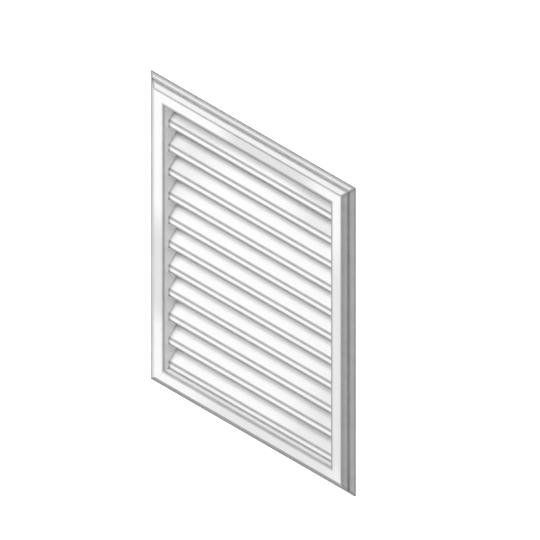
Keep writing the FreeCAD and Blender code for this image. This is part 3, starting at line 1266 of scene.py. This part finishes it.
@dataclass
class InsectScreen:
    """Wire cloth over the sleeve's back: two layers of crossed wires and a pressed hem."""

    vent: VentSizes
    wire_finish: Material
    hem_finish: Material
    pitch: float = 0.003175
    wire: float = 0.0004
    wire_sides: int = 6
    end_soil: float = 1.0
    run_soil: float = 0.15
    hem_radius: float = 0.0003
    hem_reach: float = 0.0001
    hem_soil: float = 0.5
    hem_steps: int = 3
    hem_spans: int = 10

    def wires(self, lay: Lay) -> Skin:
        """Build one layer of wires: a hexagon carried along a straight line, repeated at the mesh's pitch.

        Args:
            lay: which way the wires run.

        Returns:
            All the wires of the layer.
        """
        v = self.vent
        upright = lay is Lay.WARP
        reach = np.array([v.half_width, v.half_height]) - v.lug_reach / 2
        width, length = reach if upright else reach[::-1]
        count = 2 * math.floor(width / self.pitch) + 1
        angle = np.linspace(0.0, 2 * np.pi, self.wire_sides, endpoint=False)
        clean = length - 2 * v.lug_reach
        along = np.array([-length, -clean, clean, length])[:, None]
        middle = v.sleeve_back + self.wire * (0.5 if upright else 1.5)
        side = self.wire / 2 * np.cos(angle)
        back = middle + self.wire / 2 * np.sin(angle)
        axes = [side, back, along] if upright else [along, back, side]
        soil_and_shade = np.array([self.end_soil, self.run_soil, self.run_soil, self.end_soil])
        moves = np.zeros((count, 3))
        moves[:, 0 if upright else 2] = self.pitch * (np.arange(count) - count // 2)
        return repeated(closed_tube(axes, soil_and_shade[:, None]), moves)

    def hem(self) -> Skin:
        """Build the hem: a flat rounded band carried round the opening.

        Returns:
            The closed hem.
        """
        v = self.vent
        front, back, inner, outer = v.sleeve_back, v.screen_back, -v.lug_reach, v.hem_lap
        sides = [(front, inner), (back, inner), (back, outer), (front, outer)]
        corners = [Corner(*side, self.hem_radius, self.hem_soil, reach=self.hem_reach) for side in sides]
        stations = np.linspace(0.0, 1.0, self.hem_spans, endpoint=False)
        return mitred_ring(rounded_section(corners, self.hem_steps), v, stations)

    def build(self) -> list[Object]:
        """Build the cloth and its hem.

        Returns:
            The finished pieces.
        """
        cloth = joined([self.wires(lay) for lay in Lay])
        return [
            make_piece("screen_wires", cloth, self.wire_finish, Node.SCREEN),
            make_piece("screen_hem", self.hem(), self.hem_finish, Node.SCREEN),
        ]


# Studio


@dataclass(frozen=True)
class Softbox:
    """A square soft lamp: the direction it shines from, its distance, its size and its level."""

    name: str
    direction: tuple[float, float, float]
    distance: float
    size: float
    level: float

    def build(self) -> None:
        """Add the lamp.

        A square lamp of P watts lights a facing surface at P / (pi^2 * distance^2) times its own colour.
        """
        data = bpy.data.lights.new(self.name, "AREA")
        data.size = self.size
        data.energy = self.level * math.pi**2 * self.distance**2
        lamp = bpy.data.objects.new(self.name, data)
        towards = Vector(self.direction).normalized()
        lamp.location = towards * self.distance
        lamp.rotation_euler = towards.to_track_quat("Z", "Y").to_euler()
        lamp.visible_camera = False
        bpy.context.scene.collection.objects.link(lamp)


@dataclass
class Studio:
    """Pale floor, soft lamps, even fill, and the camera at the photograph's angle."""

    vent: VentSizes
    floor_drop: float = 1.20
    floor_half: float = 8.0
    floor_colour: Colour = (0.80, 0.80, 0.80)
    floor_roughness: float = 0.9
    floor_lift: float = 0.56
    floor_fade: Pair = (2.2, 5.5)
    fill: float = 0.22
    azimuth: float = 45.0
    elevation: float = 35.264
    frame_width: float = 0.9281
    aim_right: float = 0.0391
    aim_up: float = 0.0289
    camera_distance: float = 3.0
    lamps: tuple[Softbox, ...] = (
        Softbox("key_softbox", (-0.06, -0.50, 0.86), 6.0, 1.5, 0.47),
        Softbox("front_softbox", (-0.34, -0.93, 0.15), 5.0, 2.7, 0.495),
        Softbox("side_softbox", (0.97, -0.15, 0.10), 4.0, 1.8, 0.24),
        Softbox("back_softbox", (-0.35, 0.85, 0.40), 4.0, 2.0, 0.42),
    )

    def build_camera(self) -> None:
        """Add the level-sided camera, aimed so that the vent falls where the photograph has it."""
        data = bpy.data.cameras.new("photo_camera")
        data.type = "ORTHO"
        data.ortho_scale = self.frame_width
        camera = bpy.data.objects.new("photo_camera", data)
        turn, tilt = math.radians(self.azimuth), math.radians(self.elevation)
        level = math.cos(tilt)
        towards = Vector((math.sin(turn) * level, -math.cos(turn) * level, math.sin(tilt)))
        rotation = towards.to_track_quat("Z", "Y")
        aim = Vector((0.0, self.vent.front, 0.0))
        aim += rotation @ Vector((self.aim_right, self.aim_up, 0.0))
        camera.rotation_euler = rotation.to_euler()
        camera.location = aim + towards * self.camera_distance
        bpy.context.scene.collection.objects.link(camera)
        bpy.context.scene.camera = camera

    @staticmethod
    def _seen_directly(tree: NodeTree) -> NodeSocket:
        """Tell the rays that see a surface or the world from those that only light the vent.

        Args:
            tree: the tree of the material or the world.

        Returns:
            A socket that is 1 for camera, glossy and transmission rays.
        """
        path = add_node(tree, "ShaderNodeLightPath").outputs
        glossy = add_math(tree, "MAXIMUM", path["Is Glossy Ray"], path["Is Transmission Ray"])
        return add_math(tree, "MAXIMUM", path["Is Camera Ray"], glossy)

    def _floor_finish(self) -> Material:
        """Make the floor's material, lifted to white where it is seen and faded out far from the vent.

        Returns:
            The finished material.
        """
        material = bpy.data.materials.new("studio_floor")
        material.use_nodes = True
        tree = material.node_tree
        place = add_node(tree, "ShaderNodeTexCoord").outputs["Object"]
        away = add_node(tree, "ShaderNodeVectorMath", operation="LENGTH", Vector=place).outputs["Value"]
        inputs = {
            "Base Color": (*self.floor_colour, 1.0),
            "Roughness": self.floor_roughness,
            "Specular IOR Level": 0.0,
            "Emission Color": WHITE,
            "Emission Strength": add_math(tree, "MULTIPLY", self._seen_directly(tree), self.floor_lift),
            "Alpha": add_range(tree, away, (*self.floor_fade, 1.0, 0.0)),
        }
        set_inputs(tree, tree.nodes["Principled BSDF"], inputs)
        return material

    def build_floor(self) -> None:
        """Add the floor, which the vent still shades."""
        corner = np.array([(-1, -1), (1, -1), (1, 1), (-1, 1)], float) * self.floor_half
        vertices = np.column_stack([corner, np.full(4, -self.floor_drop)])
        mesh = bpy.data.meshes.new("studio_floor")
        mesh.from_pydata(vertices.tolist(), [], [(0, 1, 2, 3)])
        mesh.materials.append(self._floor_finish())
        floor = bpy.data.objects.new("studio_floor", mesh)
        bpy.context.scene.collection.objects.link(floor)

    def build_world(self) -> None:
        """Give the world an even fill that is white where it is seen."""
        world = bpy.data.worlds.new("studio_fill")
        world.use_nodes = True
        bpy.context.scene.world = world
        tree = world.node_tree
        seen = add_math(tree, "MAXIMUM", self._seen_directly(tree), self.fill)
        set_inputs(tree, tree.nodes["Background"], {"Color": WHITE, "Strength": seen})

    def build(self) -> None:
        """Set the whole studio up."""
        self.build_floor()
        self.build_world()
        self.build_camera()
        for lamp in self.lamps:
            lamp.build()
        bpy.context.scene.view_settings.view_transform = "Standard"


def main() -> None:
    """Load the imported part, build and report every piece, and set the studio up round them."""
    logging.basicConfig(level=logging.INFO, format="%(name)s: %(message)s")
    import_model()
    vent = VentSizes()
    effects = SharedEffects()
    plastic = MouldedPlastic().build(effects)
    wire = DrawnWire(Slot.WIRE.value).build(effects)
    hem = DrawnWire("screen_hem", weave_pitch=InsectScreen.pitch).build(effects)
    for assembly in (
        FrameMoulding(vent, plastic),
        LouverBank(vent, plastic),
        ScreenStakes(vent, plastic),
        InsectScreen(vent, wire, hem),
    ):
        for piece in assembly.build():
            mesh = piece.data
            LOG.info("%s: %d vertices, %d faces", piece.name, len(mesh.vertices), len(mesh.polygons))
    Studio(vent).build()


if __name__ == "__main__":
    main()
